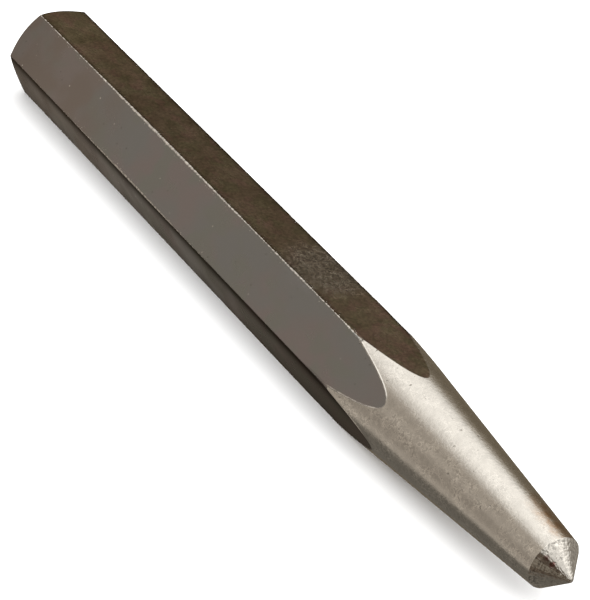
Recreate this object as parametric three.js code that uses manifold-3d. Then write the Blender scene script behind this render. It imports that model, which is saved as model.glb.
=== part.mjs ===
// Centre punch: one solid bar of hexagonal tool steel with a bevelled head at one end, and a ground
// taper and a conical point at the other.
//
// The punch lies on one of its flats. X runs along its axis, from the head (-X) to the point (+X),
// and Z is up. The origin is under the middle of the punch, on the surface it lies on.
// All lengths are in millimetres.

import * as THREE from 'three';
import { mergeVertices } from 'three/addons/utils/BufferGeometryUtils.js';
import Module from 'manifold-3d';

// Driving dimensions.
const OVERALL_LENGTH = 127; // 5 in, from the head's face to the end of the point
const ACROSS_FLATS = 12.7; // 1/2 in hexagonal bar
const BAR_EDGE_RADIUS = 0.15; // the bar's six long edges are slightly rounded
const HEAD_FACE_DIAMETER = 10.2; // the flat disc that the hammer strikes
const HEAD_BEVEL_ANGLE = 37; // degrees between the bevel and the struck face
const TAPER_HALF_ANGLE = 5.5; // degrees between the taper's side and the axis
const POINT_BASE_DIAMETER = 7.2; // where the taper ends and the point starts
const POINT_INCLUDED_ANGLE = 90; // degrees
const POINT_TIP_RADIUS = 0.5; // the point's very end is rounded

// How finely round surfaces are divided.
const TURNED_SEGMENTS = 144; // around the axis
const BAR_EDGE_SEGMENTS = 4; // across one rounded edge of the bar
const TIP_SEGMENTS = 5; // from the cone of the point to its end

// The bar and the turned outline both run past what they cut by this much.
const OVERRUN = 2;
const WELD_DISTANCE = 1e-4;

const STEEL = { color: 0x6f675e, roughness: 0.45, metalness: 0.9 };

const inradius = ACROSS_FLATS / 2;
const headX = -OVERALL_LENGTH / 2;
const tipX = OVERALL_LENGTH / 2;

// A hexagon with rounded corners. Two of its sides are square to X.
function hexagonShape() {
  const cornerCentreRadius = (inradius - BAR_EDGE_RADIUS) / Math.cos(Math.PI / 6);
  const halfArc = Math.PI / 6;
  const shape = new THREE.Shape();
  for (let corner = 0; corner < 6; corner += 1) {
    const angle = Math.PI / 6 + (corner * Math.PI) / 3;
    const centreX = cornerCentreRadius * Math.cos(angle);
    const centreY = cornerCentreRadius * Math.sin(angle);
    shape.absarc(centreX, centreY, BAR_EDGE_RADIUS, angle - halfArc, angle + halfArc, false);
  }
  shape.closePath();
  return shape;
}

// The bar the punch is cut from, along X.
function hexagonalBar() {
  const geometry = new THREE.ExtrudeGeometry(hexagonShape(), {
    depth: OVERALL_LENGTH + 2 * OVERRUN,
    bevelEnabled: false,
    curveSegments: BAR_EDGE_SEGMENTS,
  });
  geometry.rotateY(Math.PI / 2);
  geometry.translate(headX - OVERRUN, 0, 0);
  return geometry;
}

// The outline that the head, the taper and the point are turned and ground to, as points of
// (radius, distance along the axis) from the head's face to the end of the point.
function turnedProfile() {
  const faceRadius = HEAD_FACE_DIAMETER / 2;
  const outerRadius = inradius / Math.cos(Math.PI / 6) + OVERRUN;
  const bevelSlope = Math.tan(THREE.MathUtils.degToRad(HEAD_BEVEL_ANGLE));
  const taperSlope = Math.tan(THREE.MathUtils.degToRad(TAPER_HALF_ANGLE));
  const pointHalfAngle = THREE.MathUtils.degToRad(POINT_INCLUDED_ANGLE / 2);
  const pointBaseRadius = POINT_BASE_DIAMETER / 2;

  const tipCentreX = tipX - POINT_TIP_RADIUS;
  const sharpTipX = tipCentreX + POINT_TIP_RADIUS / Math.sin(pointHalfAngle);
  const pointBaseX = sharpTipX - pointBaseRadius / Math.tan(pointHalfAngle);
  const taperStartX = pointBaseX - (outerRadius - pointBaseRadius) / taperSlope;
  const bevelEndX = headX + (outerRadius - faceRadius) * bevelSlope;

  const profile = [
    new THREE.Vector2(0, headX),
    new THREE.Vector2(faceRadius, headX),
    new THREE.Vector2(outerRadius, bevelEndX),
    new THREE.Vector2(outerRadius, taperStartX),
    new THREE.Vector2(pointBaseRadius, pointBaseX),
  ];
  const tipArc = Math.PI / 2 - pointHalfAngle;
  for (let step = 0; step < TIP_SEGMENTS; step += 1) {
    const angle = tipArc * (1 - step / TIP_SEGMENTS);
    const radius = POINT_TIP_RADIUS * Math.sin(angle);
    profile.push(new THREE.Vector2(radius, tipCentreX + POINT_TIP_RADIUS * Math.cos(angle)));
  }
  profile.push(new THREE.Vector2(0, tipX));
  return profile;
}

function turnedEnvelope() {
  const geometry = new THREE.LatheGeometry(turnedProfile(), TURNED_SEGMENTS);
  geometry.rotateZ(-Math.PI / 2);
  return geometry;
}

// A closed solid from a geometry, with its shared vertices joined.
function toSolid(wasm, geometry) {
  geometry.deleteAttribute('normal');
  geometry.deleteAttribute('uv');
  const welded = mergeVertices(geometry, WELD_DISTANCE);
  const corners = welded.index.array;
  const triangles = [];
  for (let i = 0; i < corners.length; i += 3) {
    const [a, b, c] = corners.slice(i, i + 3);
    if (a !== b && b !== c && c !== a) {
      triangles.push(a, b, c);
    }
  }
  return new wasm.Manifold(new wasm.Mesh({
    numProp: 3,
    vertProperties: new Float32Array(welded.attributes.position.array),
    triVerts: new Uint32Array(triangles),
  }));
}

function toGeometry(solid) {
  const { vertProperties, triVerts } = solid.getMesh();
  const geometry = new THREE.BufferGeometry();
  geometry.setAttribute('position', new THREE.BufferAttribute(vertProperties, 3));
  geometry.setIndex(new THREE.BufferAttribute(triVerts, 1));
  geometry.computeVertexNormals();
  return geometry;
}

const wasm = await Module();
wasm.setup();

const bar = toSolid(wasm, hexagonalBar());
const envelope = toSolid(wasm, turnedEnvelope());

const punch = new THREE.Mesh(
  toGeometry(bar.intersect(envelope)),
  new THREE.MeshStandardMaterial({ ...STEEL, flatShading: true }),
);
punch.name = 'punch';
punch.position.z = inradius;

const centrePunch = new THREE.Group();
centrePunch.add(punch);

export default centrePunch;
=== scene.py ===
"""A centre punch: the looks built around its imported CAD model, on a pale floor under soft light.

The punch lies along X, with its struck head at -X and its point at +X, on one of its six flats.
Lengths are in metres, and MM turns millimetres into metres. Only the shaders, and the camera's lens
and sensor, have lengths in millimetres.
"""

import math

import bpy
import numpy as np
from mathutils import Matrix, Vector, noise


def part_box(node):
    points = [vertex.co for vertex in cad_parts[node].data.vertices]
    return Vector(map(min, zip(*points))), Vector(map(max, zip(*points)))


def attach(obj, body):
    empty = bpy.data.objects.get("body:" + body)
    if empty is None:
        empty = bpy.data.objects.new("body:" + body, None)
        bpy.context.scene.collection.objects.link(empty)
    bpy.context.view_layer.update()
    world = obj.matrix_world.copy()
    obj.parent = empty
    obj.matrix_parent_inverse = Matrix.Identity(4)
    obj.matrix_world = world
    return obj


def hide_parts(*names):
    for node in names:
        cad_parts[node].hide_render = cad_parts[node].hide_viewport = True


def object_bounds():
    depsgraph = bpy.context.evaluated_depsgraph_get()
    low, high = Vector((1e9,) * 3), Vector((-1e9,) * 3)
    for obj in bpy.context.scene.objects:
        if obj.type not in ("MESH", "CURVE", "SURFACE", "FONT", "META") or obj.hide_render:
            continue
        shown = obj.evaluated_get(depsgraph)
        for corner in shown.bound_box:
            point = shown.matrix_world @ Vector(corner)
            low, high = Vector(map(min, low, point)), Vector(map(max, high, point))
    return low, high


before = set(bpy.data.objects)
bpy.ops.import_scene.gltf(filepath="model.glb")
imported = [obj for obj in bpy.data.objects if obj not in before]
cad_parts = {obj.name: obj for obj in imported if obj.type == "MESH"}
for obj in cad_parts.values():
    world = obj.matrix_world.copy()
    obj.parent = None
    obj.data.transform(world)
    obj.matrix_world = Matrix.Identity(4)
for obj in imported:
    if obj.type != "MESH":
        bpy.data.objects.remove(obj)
cad_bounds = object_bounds()

MM = 0.001
NODE = "punch"
BODY = "root"
SIDES = 6
HALF_SIDE_ANGLE = math.pi / SIDES

# ---- sizes ---------------------------------------------------------------------------------------

box_low, box_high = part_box(NODE)
HEAD_X = box_low.x
TIP_X = box_high.x
LENGTH = TIP_X - HEAD_X
INRADIUS = (box_high.z - box_low.z) / 2
AXIS_Z = (box_high.z + box_low.z) / 2
CIRCUMRADIUS = INRADIUS / math.cos(HALF_SIDE_ANGLE)
HALF_SIDE = INRADIUS * math.tan(HALF_SIDE_ANGLE)

HEAD_FACE_RADIUS = 5.1 * MM
HEAD_BEVEL_SLOPE = math.tan(math.radians(37))
TAPER_SLOPE = math.tan(math.radians(5.5))
POINT_BASE_RADIUS = 3.6 * MM
POINT_TIP_RADIUS = 0.5 * MM

# The point is a 90 degree cone: its radius grows as fast as its length, from a round end.
SHARP_TIP_X = TIP_X + POINT_TIP_RADIUS * (math.sqrt(2) - 1)
POINT_BASE_X = SHARP_TIP_X - POINT_BASE_RADIUS
POINT_HALF_ANGLE = math.radians(45)

# About how far from the head its bevel ends, which is where the wear of the bevel's rim is read.
HEAD_BEVEL_LENGTH = 1.0 * MM

# Rounding left where the head's face, its bevel and the flats meet, and at the point's base.
FACE_RIM_RADIUS = 0.30 * MM
BEVEL_RIM_RADIUS = 0.15 * MM
POINT_RIM_RADIUS = 0.10 * MM

# Rounding of the bar's six long edges: the bar's own, and what wear adds at the most.
BAR_EDGE_RADIUS = 0.15 * MM
EDGE_WEAR_RADIUS = 0.15 * MM

# The wear varies broadly and finely along an edge. Small chips are broken out beside it.
BROAD_WEAR_LENGTH = 9 * MM
FINE_WEAR_LENGTH = 0.9 * MM
CHIP_DEPTH = 0.06 * MM
CHIP_LENGTH = 0.6 * MM
CHIP_REACH = 0.16 * MM

# How far the long edges are knocked down where the taper starts, and over what length.
BLUNTED_DEPTH = 0.10 * MM
BLUNTED_REACH = 5.0 * MM
TAPER_CORNER_X = POINT_BASE_X - (CIRCUMRADIUS - POINT_BASE_RADIUS) / TAPER_SLOPE

# The burr that grinding the taper threw up where it meets the flats, and how far from the long
# edges it starts and is at its full height.
BURR_WIDTH = 0.17 * MM
BURR_HEIGHT = 0.06 * MM
BURR_START = 0.05 * MM
BURR_FULL = 0.4 * MM

# Hand grinding made the taper's start wavy, and the point's base wavy with a finer ripple. The
# point has shallow grinding marks and sparser, deeper nicks.
TAPER_START_WAVE = 0.18 * MM
POINT_BASE_WAVE = 0.06 * MM
POINT_BASE_RIPPLE = 0.05 * MM
MARK_DEPTH = 0.012 * MM
MARK_WIDTH = 0.13 * MM
NICK_DEPTH = 0.022 * MM
NICK_WIDTH = 0.20 * MM

# The hammer dents in the struck face. They fade out over a band by its rim, and between two radii
# towards its middle.
DENT_DEPTH = 0.07 * MM
DENT_WIDTH = 1.1 * MM
DENT_RIM_BAND = 1.2 * MM
DENT_FULL_RADIUS = 0.9 * MM
DENT_FREE_RADIUS = 0.2 * MM

# For each flat, from the top one round towards -Y: how brown its heat-treating film is, how much
# darker its colour and its edge-on reflections are made beside its first and its second long edge,
# and how far in that reaches.
BROWNED = np.array([1.0, 0.0, 0.10, 0.8, 0.1, 0.45])
BANDED = np.array([[0.5, 0.45], [0, 0], [0.50, 0.15], [0.2, 0.2], [0.1, 0.1], [0.15, 0.5]])
BAND_WIDTH = np.array([0.5, 0.3, 1.7, 0.6, 0.4, 1.0]) * MM

# How brown the film on the head is.
HEAD_BROWNED = 0.4

# How much burr is left on each flat. It is rubbed off the two that the punch has lain on.
BURRED = np.array([0.0, 1.0, 0.4, 0.0, 0.5, 0.3])

# For each long edge, in the same order: how worn it is by the head and by the taper, how much
# more it is rubbed over one stretch, and where that is and how far it reaches, as shares of the
# length.
WORN_BY_HEAD = np.array([0.25, 0.30, 0.10, 0.15, 0.25, 0.20])
WORN_BY_TAPER = np.array([0.30, 0.50, 0.05, 0.30, 0.40, 0.25])
RUBBED = np.array([0.30, 0.50, 0.65, 0.45, 0.45, 0.40])
RUBBED_AT = np.array([0.55, 0.29, 0.29, 0.62, 0.22, 0.75])
RUBBED_REACH = np.array([0.20, 0.11, 0.10, 0.12, 0.10, 0.14])

# ---- how finely the surface is divided -----------------------------------------------------------

HALF_SIDE_COLUMNS = 18
COLUMN_CROWDING = 2.2
FACE_ROWS = 22
RIM_ROWS = 5
BEVEL_ROWS = 10
SHANK_ROWS = 230
TAPER_ROWS = 110
POINT_ROWS = 60
TIP_ROWS = 8


# ---- noise for the mesh --------------------------------------------------------------------------

def grain(x, y, z):
    """Smooth noise, about -1 to 1, for each set of x, y and z. Where a caller has only one or two
    values to vary it by, the rest are fixed numbers that pick one noise out of many."""
    x, y, z = np.broadcast_arrays(x, y, z)
    sets = zip(x.ravel(), y.ravel(), z.ravel())
    return np.array([noise.noise(Vector(each)) for each in sets]).reshape(x.shape)


def around(angle, scale):
    """Two values for grain that vary smoothly once around the axis."""
    return scale * np.cos(angle), scale * np.sin(angle)


def smooth(value, low, high):
    """0 below low, 1 above high and a smooth step between them. Swapped limits turn it around."""
    t = np.clip((value - low) / (high - low), 0, 1)
    return t * t * (3 - 2 * t)


# ---- the outline of each column ------------------------------------------------------------------
#
# The surface is a grid wrapped around the axis. A column runs from the middle of the struck face to
# the point at one angle around the axis, and a row goes once around. Rows follow the edges between
# the head, the flats, the taper and the point, so those edges stay crisp. A column's outline is
# made of places (distance along X, distance from the axis).

class Columns:
    """The columns' angles. On the bar they crowd towards its edges, where the surface turns
    quickly, and by the point's base they have spread out evenly."""

    def __init__(self):
        steps = np.linspace(0, 1, HALF_SIDE_COLUMNS + 1)
        half = np.arctan((1 - steps**COLUMN_CROWDING) * math.tan(HALF_SIDE_ANGLE))
        one_side = np.concatenate([-half, half[-2:0:-1]])
        flat = np.repeat(np.arange(SIDES), len(one_side))
        self.offset = np.tile(one_side, SIDES)
        self.corner = (flat + (self.offset > 0)) % SIDES
        self.flat = flat
        self.angle = flat * 2 * HALF_SIDE_ANGLE + self.offset
        self.from_edge = HALF_SIDE - INRADIUS * np.tan(np.abs(self.offset))
        self.count = len(self.offset)
        self.even = self.angle[0] + np.arange(self.count) * 2 * math.pi / self.count


def edge_wear(x, corner):
    """How worn a long edge is, from 0 to 1. Each edge is rubbed the most over its own stretch."""
    stretch = (x - HEAD_X) / LENGTH - RUBBED_AT[corner]
    rubbed = RUBBED[corner] * np.exp(-((stretch / RUBBED_REACH[corner]) ** 2))
    along = np.clip((x - HEAD_X) / (TAPER_CORNER_X - HEAD_X), 0, 1)
    worn = WORN_BY_HEAD[corner] + (WORN_BY_TAPER[corner] - WORN_BY_HEAD[corner]) * along
    broad = worn * (1 + 0.5 * grain(x / BROAD_WEAR_LENGTH, corner * 7.3, 1.7))
    fine = (0.06 + 0.12 * rubbed) * grain(x / FINE_WEAR_LENGTH, corner * 3.1, 5.2)
    return np.clip(broad + rubbed + fine, 0, 1)


def edge_chips(x, corner):
    """How deep the small chips broken out of a long edge are, in metres."""
    return CHIP_DEPTH * smooth(grain(x / CHIP_LENGTH, corner * 5.7, 9.4), 0.35, 0.75)


def edge_blunting(x):
    """How far the long edges are knocked down just behind the taper, in metres."""
    return BLUNTED_DEPTH * smooth(x, TAPER_CORNER_X - BLUNTED_REACH, TAPER_CORNER_X)


def bar_radius(columns, x):
    """Distance from the axis to the side of the bar, with its worn and chipped long edges."""
    edge_radius = BAR_EDGE_RADIUS + EDGE_WEAR_RADIUS * edge_wear(x, columns.corner)
    centre = (INRADIUS - edge_radius) / math.cos(HALF_SIDE_ANGLE)
    turn = HALF_SIDE_ANGLE - np.abs(columns.offset)
    reach = np.sqrt(np.maximum(edge_radius**2 - (centre * np.sin(turn)) ** 2, 0))
    on_round = columns.from_edge < edge_radius * math.tan(HALF_SIDE_ANGLE)
    radius = np.where(on_round, centre * np.cos(turn) + reach, INRADIUS / np.cos(columns.offset))
    near_edge = np.exp(-((columns.from_edge / CHIP_REACH) ** 2))
    return radius - (edge_chips(x, columns.corner) + edge_blunting(x)) * near_edge


def places(x, radius, count):
    """One place for each column."""
    return np.stack([np.broadcast_to(x, count), np.broadcast_to(radius, count)], -1).astype(float)


def straight(start, end, rows):
    """Rows strictly between two places of a straight run."""
    return [start + (end - start) * step / (rows + 1) for step in range(1, rows + 1)]


def rounded(before, corner, after, radius):
    """Rows that round the corner between two straight runs, with the runs' own directions."""
    into = (corner - before) / np.linalg.norm(corner - before, axis=-1, keepdims=True)
    out = (after - corner) / np.linalg.norm(after - corner, axis=-1, keepdims=True)
    turn = np.arccos(np.clip((into * out).sum(-1, keepdims=True), -1, 1))
    inward = (out - into) / np.linalg.norm(out - into, axis=-1, keepdims=True)
    centre = corner + inward * radius / np.cos(turn / 2)
    along = (into + out) / np.linalg.norm(into + out, axis=-1, keepdims=True)
    bends = [turn * (step / (RIM_ROWS - 1) - 0.5) for step in range(RIM_ROWS)]
    return [centre + radius * (np.sin(bend) * along - np.cos(bend) * inward) for bend in bends]


def point_base(columns):
    """The rim between taper and point, a little uneven where the grinding met."""
    back = POINT_BASE_WAVE * (1 + grain(*around(columns.even, 1.6), 3.3))
    back += POINT_BASE_RIPPLE * (1 + grain(*around(columns.even, 9), 8.1))
    return places(POINT_BASE_X - back, POINT_BASE_RADIUS + back * TAPER_SLOPE, columns.count)


def taper_start(columns):
    """The curves where the flats run out into the taper, a little wavy from hand grinding."""
    nominal_x = POINT_BASE_X - (INRADIUS - POINT_BASE_RADIUS) / TAPER_SLOPE
    radius = bar_radius(columns, nominal_x)
    x = POINT_BASE_X - (radius - POINT_BASE_RADIUS) / TAPER_SLOPE
    x += TAPER_START_WAVE * grain(*around(columns.angle, 4), 6.6)
    return places(x, radius, columns.count)


def burr_left(columns):
    """How much burr is left in each column, from 0 to 1. It is ragged in the middle of each flat,
    and thinner on the second half."""
    gaps = smooth(grain(*around(columns.angle, 20), 4.4), 0.4, -0.3)
    ragged = 0.10 + 0.85 * np.exp(-((columns.offset / 0.20) ** 2))
    off_edge = smooth(columns.from_edge, BURR_START, BURR_FULL)
    thinned = 1 - 0.2 * smooth(columns.offset, 0.05, 0.22)
    return BURRED[columns.flat] * off_edge * thinned * (1 - ragged * gaps)


def burr_crest(columns, taper):
    """The row along the taper's start, raised by the burr."""
    crest = taper.copy()
    crest[:, 1] += BURR_HEIGHT * burr_left(columns)
    return crest


def burr_reach(columns):
    """How far the burr reaches along X. It is as wide all along its curve, which nears the long
    edges at a slant."""
    slant = np.abs(np.sin(columns.offset)) / TAPER_SLOPE
    return BURR_WIDTH * np.sqrt(1 + slant**2)


def shank_rows(columns, start, end):
    """Rows of the flats. The last two make the burr's side."""
    reach = burr_reach(columns)
    length = end[:, 0] - reach - start[:, 0]
    along = [start[:, 0] + length * step for step in np.linspace(0, 1, SHANK_ROWS + 1)[1:]]
    along.append(end[:, 0] - reach / 2)
    return [places(x, bar_radius(columns, x), columns.count) for x in along]


def hammer_dents(rows, columns):
    """Sinks shallow dents into the struck face's rows, away from its rim and its middle."""
    for row in rows:
        radius = row[:, 1]
        up, across = around(columns.angle, radius / DENT_WIDTH)
        dented = smooth(grain(across, up, 7.7), 0.0, 0.5)
        dented *= smooth(radius, HEAD_FACE_RADIUS, HEAD_FACE_RADIUS - DENT_RIM_BAND)
        row[:, 0] += DENT_DEPTH * dented * smooth(radius, DENT_FREE_RADIUS, DENT_FULL_RADIUS)
    return rows


def grinding_marks(rows, columns):
    """Sinks short, uneven grinding marks into the point's rows, along its circles."""
    for row in rows:
        mark = grain(row[:, 0] / MARK_WIDTH, *around(columns.even, 3.5))
        nick = grain(row[:, 0] / NICK_WIDTH, *around(columns.even, 11))
        depth = MARK_DEPTH * smooth(mark, -0.1, 0.5) + NICK_DEPTH * smooth(nick, 0.25, 0.6)
        row[:, 0] -= depth * math.sin(POINT_HALF_ANGLE)
        row[:, 1] -= depth * math.cos(POINT_HALF_ANGLE)
    return rows


def tip_rows(count):
    """Rows of the point's round end."""
    centre_x = TIP_X - POINT_TIP_RADIUS
    rows = []
    for step in range(TIP_ROWS):
        turn = POINT_HALF_ANGLE * (1 - step / TIP_ROWS)
        x = centre_x + POINT_TIP_RADIUS * math.cos(turn)
        rows.append(places(x, POINT_TIP_RADIUS * math.sin(turn), count))
    return rows


HEAD, FLATS, TAPER, POINT = range(4)


def all_rows(columns):
    """Every row from the head to the point, and the part that each row starts."""
    count = columns.count
    centre = places(HEAD_X, 0, count)
    face_rim = places(HEAD_X, HEAD_FACE_RADIUS, count)
    bevel_radius = bar_radius(columns, HEAD_X + HEAD_BEVEL_LENGTH)
    bevel_x = HEAD_X + (bevel_radius - HEAD_FACE_RADIUS) * HEAD_BEVEL_SLOPE
    bevel_rim = places(bevel_x, bevel_radius, count)
    taper = taper_start(columns)
    base = point_base(columns)
    tip = tip_rows(count)

    face_edge = rounded(centre, face_rim, bevel_rim, FACE_RIM_RADIUS)
    bevel_edge = rounded(face_rim, bevel_rim, taper, BEVEL_RIM_RADIUS)
    base_edge = rounded(taper, base, tip[0], POINT_RIM_RADIUS)

    head = hammer_dents(straight(centre, face_edge[0], FACE_ROWS), columns) + face_edge
    head += straight(face_edge[-1], bevel_edge[0], BEVEL_ROWS) + bevel_edge[:-1]
    flats = bevel_edge[-1:] + shank_rows(columns, bevel_edge[-1], taper)
    taper_length = base_edge[0][:, :1] - taper[:, :1]
    past_burr = taper + (base_edge[0] - taper) * burr_reach(columns)[:, None] / 2 / taper_length
    side = [burr_crest(columns, taper), past_burr]
    side += straight(past_burr, base_edge[0], TAPER_ROWS)
    point = base_edge + grinding_marks(straight(base_edge[-1], tip[0], POINT_ROWS), columns) + tip
    parts = [HEAD] * len(head) + [FLATS] * len(flats) + [TAPER] * len(side) + [POINT] * len(point)
    return head + flats + side + point, np.array(parts)


def taper_row(parts):
    """The number of the row where the taper starts, which is also the burr's crest."""
    return int(np.argmax(parts == TAPER))


def on_burr(columns, parts):
    """How bare each place is: the burr's side and crest are, most of all where much is left."""
    crest = taper_row(parts)
    bare = np.zeros((len(parts), columns.count))
    bare[crest - 1 : crest + 1] = 0.25 + 0.75 * burr_left(columns)
    return bare


# ---- the mesh ------------------------------------------------------------------------------------

def row_angles(columns, parts):
    """The angle of every place: the columns spread out evenly along the taper."""
    on_taper = np.cumsum(parts == TAPER) / np.sum(parts == TAPER)
    return columns.angle + smooth(on_taper, 0, 1)[:, None] * (columns.even - columns.angle)


def wrap(rows, angles):
    """The places of every row, turned around the axis into space."""
    x, radius = rows[..., 0], rows[..., 1]
    y = -radius * np.sin(angles)
    z = AXIS_Z + radius * np.cos(angles)
    return np.stack([x, y, z], -1).reshape(-1, 3)


def grid_faces(row_count, count):
    """Quads between neighbouring rows and columns, once around."""
    row, column = np.meshgrid(np.arange(row_count - 1), np.arange(count), indexing="ij")
    after = (column + 1) % count
    low, high = row * count, (row + 1) * count
    quads = np.stack([low + column, low + after, high + after, high + column], -1)
    return quads.reshape(-1, 4).tolist()


def fan_faces(row_start, count, middle, turned):
    """Triangles from one row to the point that closes it."""
    faces = []
    for column in range(count):
        pair = [row_start + column, row_start + (column + 1) % count]
        faces.append([middle] + (pair if turned else pair[::-1]))
    return faces


def add_float_attribute(mesh, name, values):
    """Gives each place of the grid a value, and 0 to the two places that close its ends."""
    attribute = mesh.attributes.new(name, "FLOAT", "POINT")
    attribute.data.foreach_set("value", np.append(values.ravel(), [0, 0]).astype(np.float32))


def add_surface_attributes(mesh, columns, rows, parts):
    """What the materials need to know about each place, beyond where it is."""
    everywhere = np.ones(rows.shape[:2])
    from_edge = columns.from_edge / MM * everywhere
    second = (columns.offset > 0).astype(int)
    reach = columns.from_edge / BAND_WIDTH[columns.flat]
    band = BANDED[columns.flat, second] * np.exp(-(reach**2))
    on_bar = (parts != HEAD).astype(float)[:, None]
    browned = HEAD_BROWNED + (BROWNED[columns.flat] - HEAD_BROWNED) * on_bar
    add_float_attribute(mesh, "from_edge", from_edge)
    add_float_attribute(mesh, "edge_wear", edge_wear(rows[..., 0], columns.corner))
    add_float_attribute(mesh, "band", band * on_bar)
    add_float_attribute(mesh, "browned", browned)
    add_float_attribute(mesh, "burr", on_burr(columns, parts))


def mark_sharp_row(mesh, first, count):
    """Keeps the shading crisp along one row."""
    ends = np.zeros(len(mesh.edges) * 2, int)
    mesh.edges.foreach_get("vertices", ends)
    in_row = (ends >= first) & (ends < first + count)
    sharp = mesh.attributes.new("sharp_edge", "BOOLEAN", "EDGE")
    sharp.data.foreach_set("value", in_row.reshape(-1, 2).all(1))


def build_punch():
    """The punch as one closed mesh, with a material for each part of its surface."""
    columns = Columns()
    row_list, parts = all_rows(columns)
    rows = np.array(row_list)
    count = columns.count
    last_row = (len(rows) - 1) * count
    face_middle = len(rows) * count
    point_end = face_middle + 1
    vertices = wrap(rows, row_angles(columns, parts)).tolist()
    vertices += [(HEAD_X, 0, AXIS_Z), (TIP_X, 0, AXIS_Z)]
    faces = grid_faces(len(rows), count)
    faces += fan_faces(0, count, face_middle, turned=False)
    faces += fan_faces(last_row, count, point_end, turned=True)

    mesh = bpy.data.meshes.new("centre_punch")
    mesh.from_pydata(vertices, [], faces)
    slots = np.concatenate([np.repeat(parts[:-1], count), [HEAD] * count, [POINT] * count])
    mesh.polygons.foreach_set("material_index", slots.astype(np.int32))
    mesh.polygons.foreach_set("use_smooth", np.ones(len(faces), bool))
    add_surface_attributes(mesh, columns, rows, parts)
    mark_sharp_row(mesh, taper_row(parts) * count, count)
    mesh.update()

    punch = bpy.data.objects.new("centre_punch", mesh)
    bpy.context.scene.collection.objects.link(punch)
    return punch


# ---- shader building blocks ----------------------------------------------------------------------

def add(tree, kind, inputs=None, **settings):
    """Adds a node. An input's value is either a number or colour, or the socket that feeds it."""
    node = tree.nodes.new(kind)
    for name, value in settings.items():
        setattr(node, name, value)
    for name, value in (inputs or {}).items():
        if isinstance(value, bpy.types.NodeSocket):
            tree.links.new(value, node.inputs[name])
        else:
            node.inputs[name].default_value = value
    return node


def calc(tree, operation, a, b=0.0):
    """One of Blender's math operations."""
    return add(tree, "ShaderNodeMath", {0: a, 1: b}, operation=operation).outputs[0]


def times(tree, a, b):
    """The product of two values."""
    return calc(tree, "MULTIPLY", a, b)


def inverse(tree, share):
    """1 where share is 0 and 0 where it is 1."""
    return calc(tree, "SUBTRACT", 1.0, share)


def ramp(tree, value, low, high, start=0.0, end=1.0):
    """What smooth does, as a node, from start to end instead of from 0 to 1."""
    inputs = {"Value": value, "From Min": low, "From Max": high, "To Min": start, "To Max": end}
    node = add(tree, "ShaderNodeMapRange", inputs, interpolation_type="SMOOTHSTEP")
    return node.outputs["Result"]


def blend(tree, share, first, second):
    """The first colour where share is 0 and the second where it is 1."""
    inputs = {0: share, 6: first, 7: second}
    return add(tree, "ShaderNodeMix", inputs, data_type="RGBA").outputs[2]


def colour(red, green, blue):
    """An opaque colour, in linear light."""
    return (red, green, blue, 1.0)


def surface_place(tree, stretch=(1, 1, 1)):
    """The place on the punch in millimetres, stretched along each axis."""
    place = add(tree, "ShaderNodeTexCoord").outputs["Object"]
    per_metre = [each / MM for each in stretch]
    inputs = {0: place, 1: per_metre}
    return add(tree, "ShaderNodeVectorMath", inputs, operation="MULTIPLY").outputs[0]


def along_axis(tree, place):
    """The place's X, in millimetres."""
    return add(tree, "ShaderNodeSeparateXYZ", {0: place}).outputs[0]


def above_axis(tree, place):
    """Height above the punch's axis, in millimetres."""
    height = add(tree, "ShaderNodeSeparateXYZ", {0: place}).outputs[2]
    return calc(tree, "SUBTRACT", height, AXIS_Z / MM)


def from_axis(tree, place):
    """Distance from the punch's axis, in millimetres."""
    sideways = add(tree, "ShaderNodeSeparateXYZ", {0: place}).outputs[1]
    squares = [calc(tree, "POWER", each, 2.0) for each in (sideways, above_axis(tree, place))]
    return calc(tree, "SQRT", calc(tree, "ADD", *squares))


def cloud(tree, place, per_mm, detail=3.0, roughness=0.55):
    """Noise from 0 to 1 whose largest patches are 1 / per_mm millimetres wide."""
    inputs = {"Vector": place, "Scale": per_mm, "Detail": detail, "Roughness": roughness}
    return add(tree, "ShaderNodeTexNoise", inputs).outputs[0]


def dots(tree, place, per_mm, size, share):
    """1 in a share of the round dots scattered about 1 / per_mm millimetres apart, else 0."""
    cells = add(tree, "ShaderNodeTexVoronoi", {"Vector": place, "Scale": per_mm})
    chance = add(tree, "ShaderNodeSeparateColor", {0: cells.outputs["Color"]}).outputs[0]
    dot = ramp(tree, cells.outputs["Distance"], size, size * 0.5)
    return times(tree, dot, calc(tree, "LESS_THAN", chance, share))


def squiggles(tree, noise_value, outer, inner, strength=1.0):
    """Thin curly lines: strength where noise is within inner of its middle, and 0 beyond outer."""
    off_middle = calc(tree, "ABSOLUTE", calc(tree, "SUBTRACT", noise_value, 0.5))
    return ramp(tree, off_middle, outer, inner, 0.0, strength)


def near(tree, centre, reach, stretch=(1, 1, 1)):
    """1 at a centre, falling to 0 at a reach from it, once both are stretched along each axis."""
    aim = [middle * each for middle, each in zip(centre, stretch)]
    inputs = {0: surface_place(tree, stretch), 1: aim}
    gap = add(tree, "ShaderNodeVectorMath", inputs, operation="DISTANCE").outputs["Value"]
    return ramp(tree, gap, reach, 0.0)


def shade(tree, tone, tint):
    """A colour made darker or lighter by a tone around 1."""
    settings = {"data_type": "RGBA", "blend_type": "MULTIPLY"}
    return add(tree, "ShaderNodeMix", {0: 1.0, 6: tint, 7: tone}, **settings).outputs[2]


def attribute(tree, name):
    """What the mesh knows about the place under one name."""
    return add(tree, "ShaderNodeAttribute", attribute_name=name).outputs["Fac"]


def bump(tree, height, depth, normal=None):
    """A normal bent by a height of 0 to 1 that stands for a depth in millimetres."""
    inputs = {"Height": height, "Distance": depth * MM, "Strength": 1.0}
    if normal is not None:
        inputs["Normal"] = normal
    return add(tree, "ShaderNodeBump", inputs).outputs["Normal"]


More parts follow.
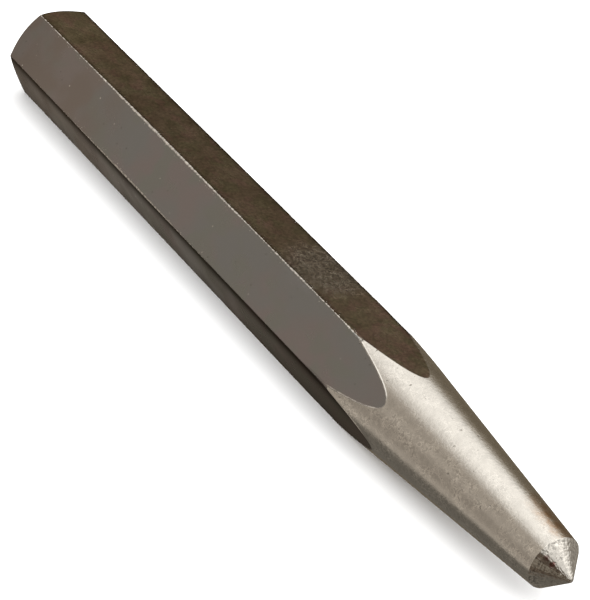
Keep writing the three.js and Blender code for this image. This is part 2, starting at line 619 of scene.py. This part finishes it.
def new_material(name):
    """An empty material and its node tree."""
    material = bpy.data.materials.new(name)
    material.use_nodes = True
    material.node_tree.nodes.clear()
    return material, material.node_tree


def finish_metal(tree, base, roughness, normal, grazing=colour(1, 1, 1)):
    """Metal of a base colour; grazing is what its edge-on reflections are dimmed to."""
    inputs = {"Base Color": base, "Metallic": 1.0, "Roughness": roughness, "Normal": normal}
    inputs["Specular Tint"] = grazing
    shader = add(tree, "ShaderNodeBsdfPrincipled", inputs)
    add(tree, "ShaderNodeOutputMaterial", {"Surface": shader.outputs[0]})


# ---- the punch's materials -----------------------------------------------------------------------

GREY_FILM = colour(0.292, 0.295, 0.298)
GREY_FILM_DRIFT = colour(0.318, 0.288, 0.290)
GREY_FILM_OLIVE = colour(0.289, 0.297, 0.280)
GREY_FILM_BY_HEAD = colour(0.292, 0.256, 0.238)
BROWN_FILM = colour(0.247, 0.191, 0.137)
BROWN_FILM_OLIVE = colour(0.224, 0.190, 0.126)
BROWN_FILM_RED = colour(0.268, 0.187, 0.146)
CRINKLED_FILM = colour(0.240, 0.207, 0.168)
LOOSE_SCALE = colour(0.50, 0.45, 0.37)
GRAZING_TINT = colour(0.45, 0.43, 0.40)
BARE_STEEL = colour(0.675, 0.652, 0.615)
WORN_STEEL = colour(0.78, 0.75, 0.715)
RUST = colour(0.48, 0.30, 0.17)
STAIN = colour(0.27, 0.105, 0.095)
PIT = colour(0.10, 0.085, 0.07)

# Where the head ends and the point starts along X, in the shaders' millimetres.
HEAD_END = HEAD_X / MM
POINT_BASE = POINT_BASE_X / MM


def on_punch(behind_tip, sideways, up):
    """A place in millimetres, from its distances behind the tip, along Y and above the axis."""
    return (TIP_X / MM - behind_tip, sideways, AXIS_Z / MM + up)


# Where the top flat's scale is crinkled and reddened, where the taper is rusty and where the point
# is stained, and how far each reaches.
CRINKLED_AT, CRINKLED_REACH = on_punch(56.1, 0.8, INRADIUS / MM), 9.5
REDDENED_AT, REDDENED_REACH = on_punch(39.5, 1.0, INRADIUS / MM), 9.0
RUST_AT, RUST_REACH = on_punch(6.5, 1.2, 3.75), 4.2
STAIN_AT, STAIN_REACH = on_punch(2.0, -1.8, 1.25), 0.85
FAINT_STAIN_AT, FAINT_STAIN_REACH = on_punch(2.7, -2.3, 1.8), 1.0


def crinkles(tree, place):
    """How crinkled the scale is, from 0 to 1, and its wrinkles, which are 1 along their crests."""
    patch = ramp(tree, near(tree, CRINKLED_AT, CRINKLED_REACH, (1, 1.1, 1)), 0.05, 0.75)
    folds = cloud(tree, surface_place(tree, (0.8, 1.1, 1)), 2.5, 4, 0.7)
    broken = ramp(tree, cloud(tree, place, 1.1, 3), 0.46, 0.58, 0.1, 1.0)
    crests = times(tree, squiggles(tree, folds, 0.034, 0.014), broken)
    return patch, times(tree, crests, patch)


def brown_film(tree, place):
    """The brown film: soft olive and red patches, and one patch of crinkled scale."""
    olive = ramp(tree, cloud(tree, place, 0.32, 3), 0.42, 0.60)
    redness = cloud(tree, surface_place(tree, (0.9, 1.2, 1.2)), 0.40, 3)
    reddened = near(tree, REDDENED_AT, REDDENED_REACH, (1, 0.7, 1))
    red = ramp(tree, calc(tree, "ADD", redness, times(tree, reddened, 0.1)), 0.50, 0.68)
    film = blend(tree, red, blend(tree, olive, BROWN_FILM, BROWN_FILM_OLIVE), BROWN_FILM_RED)
    x = along_axis(tree, place)
    film = shade(tree, ramp(tree, x, HEAD_END + 36, HEAD_END, 0.90, 1.28), film)
    film = shade(tree, ramp(tree, cloud(tree, place, 0.55, 3), 0.36, 0.64, 0.90, 1.08), film)
    film = shade(tree, ramp(tree, cloud(tree, place, 2.2, 4, 0.65), 0.3, 0.7, 0.81, 1.18), film)
    patch, crests = crinkles(tree, place)
    rough = ramp(tree, cloud(tree, place, 2.8, 3, 0.7), 0.38, 0.62, 0.46, 1.14)
    film = blend(tree, times(tree, patch, 0.8), film, shade(tree, rough, CRINKLED_FILM))
    freckles = times(tree, dots(tree, place, 2.2, 0.22, 0.4), reddened)
    loose = calc(tree, "MAXIMUM", crests, times(tree, freckles, 0.9))
    return blend(tree, times(tree, loose, 0.52), film, LOOSE_SCALE)


def film_colour(tree, place):
    """The heat-treating film: smooth grey on some flats and brown on others, with its colour made
    darker in a band beside the long edges.
    """
    drift = ramp(tree, cloud(tree, place, 0.11, 2), 0.38, 0.60)
    x = along_axis(tree, place)
    grey = blend(tree, drift, GREY_FILM, GREY_FILM_DRIFT)
    olive = ramp(tree, cloud(tree, surface_place(tree, (0.8, 1, 1)), 0.24, 2), 0.46, 0.64)
    grey = blend(tree, times(tree, olive, 0.8), grey, GREY_FILM_OLIVE)
    warm = ramp(tree, cloud(tree, place, 0.16, 2), 0.38, 0.60, 0.35, 1.0)
    by_head = times(tree, ramp(tree, x, HEAD_END + 34, HEAD_END + 18), warm)
    grey = blend(tree, by_head, grey, GREY_FILM_BY_HEAD)
    grey = shade(tree, ramp(tree, x, HEAD_END + 14, HEAD_END, 1.0, 0.90), grey)
    film = blend(tree, attribute(tree, "browned"), grey, brown_film(tree, place))
    return shade(tree, inverse(tree, attribute(tree, "band")), film)


def worn_edges(tree, place):
    """1 on the bare steel along the long edges, broken where it is thin, and on chips beside it."""
    gap = attribute(tree, "from_edge")
    wear = attribute(tree, "edge_wear")
    broken = ramp(tree, cloud(tree, place, 2.2, 5, 0.8), 0.38, 0.60, 0.34, 0.0)
    width = calc(tree, "SUBTRACT", wear, broken)
    inside = calc(tree, "SUBTRACT", times(tree, width, 0.28), gap)
    line = ramp(tree, inside, -0.015, 0.030)
    close = times(tree, ramp(tree, gap, 0.9, 0.1), ramp(tree, wear, 0.06, 0.25, 0.0, 0.8))
    chips = times(tree, dots(tree, place, 2.4, 0.24, 0.5), close)
    return calc(tree, "MAXIMUM", line, chips)


def film_pits(tree, place):
    """1 in the film's small pits, which are thickest beside the edges of the brown flats."""
    sparse = times(tree, dots(tree, place, 0.9, 0.13, 0.25), 0.6)
    beside = ramp(tree, attribute(tree, "from_edge"), 1.2, 0.2)
    crowded = times(tree, beside, attribute(tree, "browned"))
    thick = times(tree, dots(tree, place, 1.9, 0.32, 0.6), crowded)
    return calc(tree, "MAXIMUM", sparse, thick)


def film_specks(tree, place):
    """Small bright specks in the grey film, most of them towards the head."""
    x = along_axis(tree, place)
    by_head = ramp(tree, x, HEAD_END + 80, HEAD_END + 30, 0.2, 0.75)
    grey = inverse(tree, attribute(tree, "browned"))
    specks = dots(tree, place, 0.75, 0.12, 0.25)
    return times(tree, specks, times(tree, by_head, grey))


def flats_material():
    """Drawn flats under a film with fine pits and specks, bare along worn edges and the burr."""
    material, tree = new_material("dark_flats")
    place = surface_place(tree)
    pits = film_pits(tree, place)
    kept = ramp(tree, cloud(tree, place, 2.0, 4), 0.40, 0.54, 0.55, 1.0)
    burr = times(tree, attribute(tree, "burr"), kept)
    bare = calc(tree, "MAXIMUM", worn_edges(tree, place), burr)

    film = blend(tree, film_specks(tree, place), film_colour(tree, place), BARE_STEEL)
    film = blend(tree, times(tree, pits, 0.7), film, PIT)
    glint = ramp(tree, cloud(tree, place, 2.2, 3), 0.4, 0.6, 0.62, 1.05)
    base = blend(tree, bare, film, shade(tree, glint, WORN_STEEL))
    patch = ramp(tree, cloud(tree, place, 0.22, 2), 0.35, 0.7, 0.20, 0.28)
    roughness = calc(tree, "ADD", patch, times(tree, bare, 0.15))
    drawn = cloud(tree, surface_place(tree, (0.15, 1, 1)), 5.0, 2)
    normal = bump(tree, drawn, 0.004)
    scaly = times(tree, cloud(tree, place, 2.0, 4, 0.6), attribute(tree, "browned"))
    normal = bump(tree, scaly, 0.012, normal)
    normal = bump(tree, crinkles(tree, place)[1], 0.02, normal)
    normal = bump(tree, inverse(tree, pits), 0.02, normal)
    # Beside the long edges the edge-on reflections are dimmed too, by the same band as the colour.
    grazing = shade(tree, inverse(tree, attribute(tree, "band")), GRAZING_TINT)
    finish_metal(tree, base, roughness, normal, grazing)
    return material


def taper_material():
    """Bright ground steel with a fine blasted grain and light curls, both fainter on the upper
    side, a few pits and a rust tint by the point."""
    material, tree = new_material("bright_taper")
    place = surface_place(tree)
    blasted = cloud(tree, place, 3.0, 3, 0.65)
    broad = cloud(tree, surface_place(tree, (0.5, 1, 1)), 0.55, 4)
    upward = calc(tree, "DIVIDE", above_axis(tree, place), from_axis(tree, place))
    smoother = ramp(tree, upward, 0.55, 0.85, 1.0, 0.45)
    strength = times(tree, ramp(tree, broad, 0.38, 0.62, 0.15, 1.0), smoother)
    grains = calc(tree, "SUBTRACT", ramp(tree, blasted, 0.35, 0.65, 0.0, 2.0), 1.0)
    curls = squiggles(tree, cloud(tree, place, 1.5, 3, 0.6), 0.045, 0.010, 0.32)
    grainy = calc(tree, "ADD", times(tree, grains, 0.12), curls)
    tone = calc(tree, "ADD", 0.965, times(tree, grainy, strength))
    cloudy = ramp(tree, cloud(tree, place, 0.8, 3), 0.35, 0.65, 0.95, 1.04)
    steel = shade(tree, times(tree, tone, cloudy), BARE_STEEL)
    around_rust = near(tree, RUST_AT, RUST_REACH, (0.4, 1, 1))
    rusty = times(tree, around_rust, cloud(tree, place, 1.2, 5, 0.7))
    steel = blend(tree, ramp(tree, rusty, 0.14, 0.62, 0.0, 0.9), steel, RUST)
    pits = ramp(tree, cloud(tree, place, 1.1, 3, 0.6), 0.69, 0.74)
    base = blend(tree, times(tree, pits, 0.6), steel, PIT)
    roughness = ramp(tree, blasted, 0.2, 0.8, 0.16, 0.24)
    normal = bump(tree, blasted, 0.020)
    normal = bump(tree, inverse(tree, pits), 0.02, normal)
    finish_metal(tree, base, roughness, normal)
    return material


def point_material():
    """Bright steel roughly ground around the axis, coarsest by its rim, with two red stains."""
    material, tree = new_material("ground_point")
    place = surface_place(tree)
    x = along_axis(tree, place)
    by_rim = ramp(tree, x, POINT_BASE + 1.5, POINT_BASE)
    clusters = ramp(tree, cloud(tree, place, 0.9, 3), 0.45, 0.62, 0.2, 0.7)
    coarse = calc(tree, "MAXIMUM", by_rim, clusters)
    marks = cloud(tree, surface_place(tree, (1, 0.3, 0.3)), 5.0, 4, 0.7)
    fine = cloud(tree, place, 3.0, 4, 0.7)
    spots = calc(tree, "SUBTRACT", ramp(tree, fine, 0.34, 0.58, 0.5, 1.28), 1.0)
    steel = shade(tree, calc(tree, "ADD", 1.0, times(tree, spots, coarse)), BARE_STEEL)
    steel = shade(tree, ramp(tree, marks, 0.35, 0.65, 0.90, 1.08), steel)
    faint = times(tree, near(tree, FAINT_STAIN_AT, FAINT_STAIN_REACH), 0.8)
    stained = calc(tree, "MAXIMUM", near(tree, STAIN_AT, STAIN_REACH), faint)
    stained = times(tree, stained, cloud(tree, place, 3.2, 4, 0.75))
    steel = blend(tree, ramp(tree, stained, 0.22, 0.44, 0.0, 0.85), steel, STAIN)
    normal = bump(tree, marks, 0.010)
    normal = bump(tree, times(tree, fine, coarse), 0.016, normal)
    finish_metal(tree, steel, ramp(tree, fine, 0.2, 0.8, 0.11, 0.20), normal)
    return material


def head_material():
    """The filmed head, turned in rings, bared where hammers strike its face and on the rim."""
    material, tree = new_material("struck_head")
    place = surface_place(tree)
    radius = from_axis(tree, place)
    fine = cloud(tree, place, 2.0, 4, 0.6)
    wobble = calc(tree, "ADD", radius, times(tree, fine, 0.12))
    turned = calc(tree, "SINE", times(tree, wobble, 34.0))
    ragged = calc(tree, "ADD", radius, times(tree, cloud(tree, place, 0.8, 5, 0.65), 3.4))
    struck = ramp(tree, ragged, 6.1, 5.0)
    rim = calc(tree, "ABSOLUTE", calc(tree, "SUBTRACT", radius, HEAD_FACE_RADIUS / MM))
    rubbed = ramp(tree, calc(tree, "ADD", rim, times(tree, fine, 0.6)), 0.52, 0.28)
    bare = calc(tree, "MAXIMUM", times(tree, struck, 0.8), rubbed)
    dull = shade(tree, ramp(tree, fine, 0.3, 0.7, 0.68, 0.98), WORN_STEEL)
    base = blend(tree, bare, film_colour(tree, place), dull)
    normal = bump(tree, turned, 0.004)
    normal = bump(tree, fine, 0.02, normal)
    finish_metal(tree, base, ramp(tree, fine, 0.2, 0.8, 0.26, 0.42), normal)
    return material


# ---- the room ------------------------------------------------------------------------------------

# What the camera and the paper see all around, and the paper and its reach in metres.
BACKDROP = colour(2.0, 2.0, 2.0)
PAPER = colour(0.90, 0.90, 0.90)
PAPER_REACH = 40.0

# What bright metal mirrors: the room's own tone and, laid over it in this order, its panels. Each
# has the azimuth and elevation of its middle, the angles from there at which it is still full and
# at which it has faded away, and its colour. Angles are in degrees.
ROOM_TONE = colour(0.34, 0.31, 0.27)
PANELS = {
    "left wall": (-35, 0, 40, 80, colour(0.485, 0.432, 0.369)),
    "left shelf": (-45, 46, 4, 9, colour(0.58, 0.53, 0.47)),
    "under that shelf": (-34, 26, 3, 9, colour(0.378, 0.334, 0.280)),
    "left skirting": (-30, -12, 9, 22, colour(0.355, 0.312, 0.263)),
    "left lamp": (-87, 25, 11, 20, colour(1.10, 1.05, 0.97)),
    "warm back wall": (-150, 30, 9, 15, colour(0.26, 0.215, 0.150)),
    "dark back wall": (-135, -4, 22, 38, colour(0.168, 0.136, 0.094)),
    "dark back floor": (-137, -42, 12, 27, colour(0.168, 0.136, 0.094)),
    "pale back floor": (-103, -43, 1.5, 6.5, colour(0.70, 0.66, 0.62)),
    "camera": (52, -12, 24, 46, colour(0.102, 0.076, 0.055)),
    "table by the camera": (43, -13, 7, 15, colour(0.245, 0.215, 0.172)),
    "near floor": (-15, -82, 38, 44, colour(0.155, 0.140, 0.118)),
    "softbox": (138, 78, 33, 61, colour(1.38, 1.34, 1.27)),
    "card": (85, 36, 12, 22, colour(0.94, 0.91, 0.86)),
}

# The one lamp, very soft. Its direction is an azimuth and an elevation in degrees.
KEY_DIRECTION = (70, 65)
KEY_WIDTH = math.radians(50)
KEY_STRENGTH = 0.5


def toward(azimuth, elevation):
    """The direction at an azimuth, 0 being -Y and 90 being +X, and an elevation, in degrees."""
    a, e = math.radians(azimuth), math.radians(elevation)
    return (math.sin(a) * math.cos(e), -math.cos(a) * math.cos(e), math.sin(e))


def within(tree, outward, azimuth, elevation, inner, outer):
    """1 within inner degrees of a direction, 0 beyond outer degrees and smooth between."""
    inputs = {0: outward, 1: toward(azimuth, elevation)}
    aim = add(tree, "ShaderNodeVectorMath", inputs, operation="DOT_PRODUCT").outputs["Value"]
    return ramp(tree, aim, math.cos(math.radians(outer)), math.cos(math.radians(inner)))


def room_light(tree):
    """What the punch's bright metal sees in each direction."""
    incoming = add(tree, "ShaderNodeNewGeometry").outputs["Incoming"]
    outward = add(tree, "ShaderNodeVectorMath", {0: incoming, 3: -1.0}, operation="SCALE").outputs[0]
    light = ROOM_TONE
    for azimuth, elevation, full, gone, tone in PANELS.values():
        light = blend(tree, within(tree, outward, azimuth, elevation, full, gone), light, tone)
    return light


def light_room():
    """Bright metal mirrors the room, while the camera and the paper see a plain pale backdrop."""
    world = bpy.data.worlds.new("room")
    bpy.context.scene.world = world
    world.use_nodes = True
    tree = world.node_tree
    tree.nodes.clear()
    ray = add(tree, "ShaderNodeLightPath").outputs
    plain = calc(tree, "MAXIMUM", ray["Is Camera Ray"], ray["Is Diffuse Ray"])
    shown = blend(tree, plain, room_light(tree), BACKDROP)
    background = add(tree, "ShaderNodeBackground", {"Color": shown, "Strength": 1.0})
    add(tree, "ShaderNodeOutputWorld", {"Surface": background.outputs[0]})


def floor_material():
    """Pale paper to the camera. In the punch's reflections it is not lit paper but glows with the
    room's light, with no shadow of the punch on it.
    """
    material, tree = new_material("pale_floor")
    seen = add(tree, "ShaderNodeLightPath").outputs["Is Camera Ray"]
    paper = add(tree, "ShaderNodeBsdfDiffuse", {"Color": PAPER})
    glow = add(tree, "ShaderNodeEmission", {"Color": room_light(tree)})
    inputs = {0: seen, 1: glow.outputs[0], 2: paper.outputs[0]}
    mixed = add(tree, "ShaderNodeMixShader", inputs)
    add(tree, "ShaderNodeOutputMaterial", {"Surface": mixed.outputs[0]})
    return material


def add_floor():
    """A wide sheet of paper, level with the bottom of the punch."""
    corners = [(x * PAPER_REACH, y * PAPER_REACH, 0) for x, y in ((-1, -1), (1, -1), (1, 1), (-1, 1))]
    mesh = bpy.data.meshes.new("floor")
    mesh.from_pydata(corners, [], [(0, 1, 2, 3)])
    mesh.materials.append(floor_material())
    floor = bpy.data.objects.new("floor", mesh)
    floor.location.z = cad_bounds[0][2]
    bpy.context.scene.collection.objects.link(floor)


def add_key_light():
    """A very soft light from above, for a faint shadow under the punch."""
    data = bpy.data.lights.new("key", "SUN")
    data.angle = KEY_WIDTH
    data.energy = KEY_STRENGTH
    light = bpy.data.objects.new("key", data)
    light.rotation_euler = Vector(toward(*KEY_DIRECTION)).to_track_quat("Z", "Y").to_euler()
    light.visible_glossy = False
    bpy.context.scene.collection.objects.link(light)


# ---- the camera ----------------------------------------------------------------------------------

# Angles are in degrees. The lens and the sensor are in millimetres, and AIM_FROM_MIDDLE is the
# place that the camera looks at, from the middle of the punch.
CAMERA_AZIMUTH = 49.23
CAMERA_ELEVATION = 30.30
CAMERA_ROLL = 15.35
CAMERA_DISTANCE = 336.0 * MM
CAMERA_LENS = 159.8
SENSOR_WIDTH = 36.0
AIM_FROM_MIDDLE = Vector((4.24, -0.105, -0.118)) * MM


def add_camera():
    """A long lens over the point's end, looking along the punch towards its head."""
    back = Vector(toward(CAMERA_AZIMUTH, CAMERA_ELEVATION))
    level = Vector((0, 0, 1)).cross(back).normalized()
    upright = back.cross(level)
    roll = math.radians(CAMERA_ROLL)
    right = level * math.cos(roll) + upright * math.sin(roll)
    up = back.cross(right)
    middle = (box_low + box_high) / 2
    place = middle + AIM_FROM_MIDDLE + back * CAMERA_DISTANCE
    data = bpy.data.cameras.new("camera")
    data.sensor_fit = "HORIZONTAL"
    data.sensor_width = SENSOR_WIDTH
    data.lens = CAMERA_LENS
    data.clip_start = 1 * MM
    camera = bpy.data.objects.new("camera", data)
    turn = Matrix((right, up, back)).transposed()
    camera.matrix_world = Matrix.Translation(place) @ turn.to_4x4()
    bpy.context.scene.collection.objects.link(camera)
    bpy.context.scene.camera = camera


# ---- the scene -----------------------------------------------------------------------------------

punch = build_punch()
for make_material in (head_material, flats_material, taper_material, point_material):
    punch.data.materials.append(make_material())
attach(punch, BODY)
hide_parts(NODE)

light_room()
add_floor()
add_key_light()
add_camera()
bpy.context.scene.view_settings.view_transform = "Standard"

bpy.context.view_layer.update()
